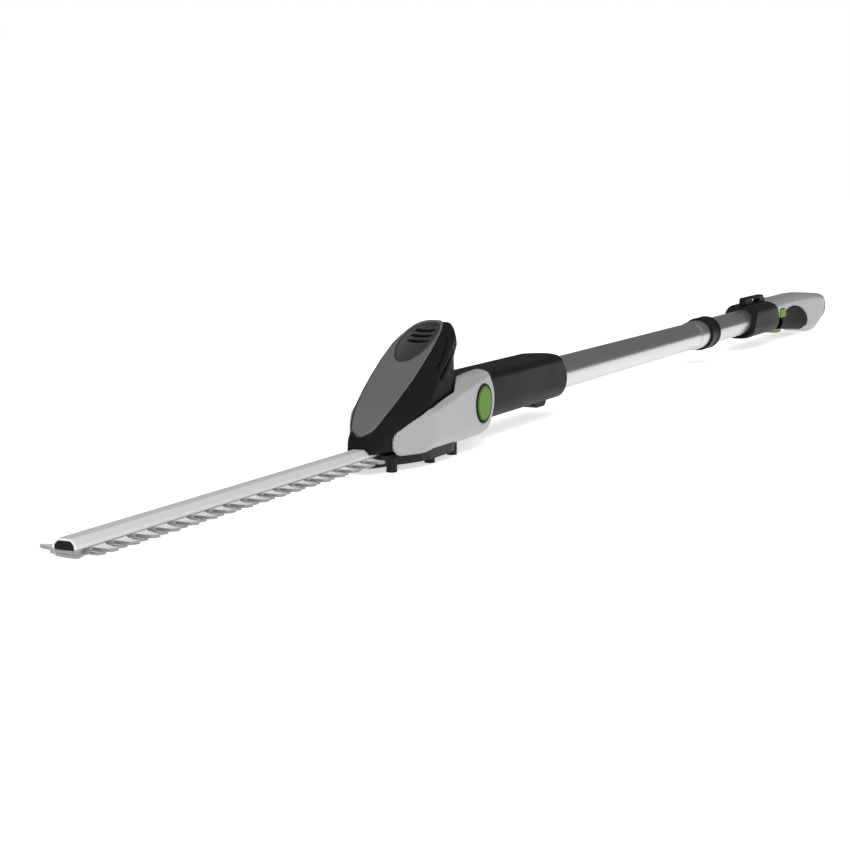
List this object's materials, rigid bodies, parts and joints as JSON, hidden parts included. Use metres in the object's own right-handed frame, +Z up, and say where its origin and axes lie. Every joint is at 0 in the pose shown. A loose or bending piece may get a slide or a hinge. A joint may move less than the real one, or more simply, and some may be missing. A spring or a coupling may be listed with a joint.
{
  "type": "long-reach hedge trimmer",
  "caption": "Cordless long-reach hedge trimmer: tilting cutter head with twin sliding blades on a two-part pole with a battery handle.",
  "frame": {"origin": "centre of the tool in plan, on the plane it lies on (screw bosses of the head and the bulge of the handle)", "axes": "+X along the pole from the blade to the battery, +Z up when the tool lies with its screw bosses down, -Y is the left-hand side"},
  "size_m": [2.0834, 0.079, 0.1176],
  "materials": {
    "black_plastic": "fine satin moulding",
    "base_plastic": "satin moulding",
    "panel_plastic": "satin dark grey",
    "vent_plastic": "semi gloss dark grey",
    "silver_plastic": "satin silver grey",
    "green_plastic": "semi gloss green",
    "soft_grip": "fine matt texture",
    "pole_metal": "satin anodised",
    "cover_metal": "satin anodised",
    "blade_steel": "ground, with bright cutting edges",
    "steel": "machined",
    "cast_alloy": "die cast",
    "gear_steel": "machined and oiled",
    "knuckle_plastic": "glass-filled nylon",
    "windings": "enamelled copper",
    "wire_jacket": "smooth",
    "circuit_board": "lacquered",
    "cell_wrap": "shrink film"
  },
  "bodies": {
    "handle": {"rear_tube": "pole_metal", "rear_housing": "black_plastic", "strap_loop": "black_plastic", "handle_shell_left": "silver_plastic", "handle_shell_right": "silver_plastic", "grip_left": "soft_grip", "grip_right": "soft_grip", "handle_screws": "steel", "trigger_switch": "black_plastic", "control_board": "circuit_board", "battery_terminals": "black_plastic", "handle_wiring": "wire_jacket", "trigger_pin": "steel", "trigger_spring": "steel"},
    "extension": {"extension_tube": "pole_metal", "joint_collar": "black_plastic", "extension_wiring": "wire_jacket"},
    "front_mount": {"pivot_tongue": "knuckle_plastic", "connector_left": "black_plastic", "connector_right": "black_plastic", "connector_screws": "steel", "contact_socket": "black_plastic"},
    "pole_latch": {"pole_latch": "black_plastic"},
    "head": {"motor_housing_left": "black_plastic", "motor_housing_right": "black_plastic", "top_panel": "panel_plastic", "vent_insert": "vent_plastic", "side_cover_left": "silver_plastic", "side_cover_right": "silver_plastic", "gearbox_base": "base_plastic", "base_screws": "steel", "gear_plate": "cast_alloy", "motor_bracket": "cast_alloy", "motor_can": "steel", "gear_bearings": "steel", "pivot_pin": "steel", "pivot_bezels": "black_plastic", "pivot_springs": "steel", "blade_cover": "cover_metal", "cover_end_cap": "black_plastic", "blade_beam": "steel", "blade_screws": "steel"},
    "rotor": {"motor_shaft": "steel", "motor_armature": "windings", "pinion": "gear_steel", "cooling_fan": "black_plastic"},
    "crank": {"drive_gear": "gear_steel", "crank_shaft": "steel"},
    "upper_blade": {"upper_blade": "blade_steel"},
    "lower_blade": {"lower_blade": "blade_steel"},
    "pivot_button_left": {"pivot_button_left": "green_plastic"},
    "pivot_button_right": {"pivot_button_right": "green_plastic"},
    "trigger": {"trigger": "green_plastic"},
    "lock_button": {"lock_button": "green_plastic"},
    "battery": {"battery_case": "black_plastic", "battery_cells": "cell_wrap", "battery_end": "silver_plastic"},
    "battery_latch_left": {"battery_latch_left": "green_plastic"},
    "battery_latch_right": {"battery_latch_right": "green_plastic"}
  },
  "joints": [
    {"name": "pole_joint", "type": "slide", "parent": "handle", "child": "extension", "axis": [-1, 0, 0], "range_m": [0, 0.075]},
    {"name": "head_joint", "type": "slide", "parent": "extension", "child": "front_mount", "axis": [-1, 0, 0], "range_m": [0, 0.07]},
    {"name": "latch_press", "type": "slide", "parent": "front_mount", "child": "pole_latch", "axis": [0, 0, 1], "range_m": [0, 0.002], "stiffness_N_per_m": 600},
    {"name": "head_tilt", "type": "hinge", "parent": "front_mount", "child": "head", "pos_m": [-0.46625, 0, 0.042], "axis": [0, 1, 0], "range_deg": [-75, 45]},
    {"name": "crank_turn", "type": "hinge", "parent": "head", "child": "crank", "pos_m": [-0.5665, 0, 0.022], "axis": [0, 0, 1], "range_deg": [-57, 57]},
    {"name": "rotor_turn", "type": "hinge", "parent": "head", "child": "rotor", "pos_m": [-0.53425, 0, 0.022], "axis": [0, 0, 1], "range_deg": [-167, 167]},
    {"name": "upper_blade_stroke", "type": "slide", "parent": "head", "child": "upper_blade", "axis": [1, 0, 0], "range_m": [-0.0054, 0.0054]},
    {"name": "lower_blade_stroke", "type": "slide", "parent": "head", "child": "lower_blade", "axis": [1, 0, 0], "range_m": [-0.0054, 0.0054]},
    {"name": "pivot_button_left_press", "type": "slide", "parent": "head", "child": "pivot_button_left", "axis": [0, 1, 0], "range_m": [0, 0.003], "stiffness_N_per_m": 800, "deforming": ["pivot_springs"]},
    {"name": "pivot_button_right_press", "type": "slide", "parent": "head", "child": "pivot_button_right", "axis": [0, -1, 0], "range_m": [0, 0.003], "stiffness_N_per_m": 800, "deforming": ["pivot_springs"]},
    {"name": "trigger_pull", "type": "hinge", "parent": "handle", "child": "trigger", "pos_m": [0.76975, 0, 0.028], "axis": [0, 1, 0], "range_deg": [0, 8], "stiffness_Nm_per_rad": 1.5, "deforming": ["trigger_spring"]},
    {"name": "lock_press", "type": "slide", "parent": "handle", "child": "lock_button", "axis": [0, 1, 0], "range_m": [0, 0.003], "stiffness_N_per_m": 500},
    {"name": "battery_pull", "type": "slide", "parent": "handle", "child": "battery", "axis": [1, 0, 0], "range_m": [0, 0.14]},
    {"name": "battery_latch_left_press", "type": "slide", "parent": "battery", "child": "battery_latch_left", "axis": [0, 1, 0], "range_m": [0, 0.0015], "stiffness_N_per_m": 500},
    {"name": "battery_latch_right_press", "type": "slide", "parent": "battery", "child": "battery_latch_right", "axis": [0, -1, 0], "range_m": [0, 0.0015], "stiffness_N_per_m": 500}
  ],
  "couplings": [
    {"joint": "upper_blade_stroke", "follows": "crank_turn", "m_per_rad": -0.0054},
    {"joint": "lower_blade_stroke", "follows": "crank_turn", "m_per_rad": 0.0054},
    {"joint": "rotor_turn", "follows": "crank_turn", "ratio": -2.9091}
  ]
}
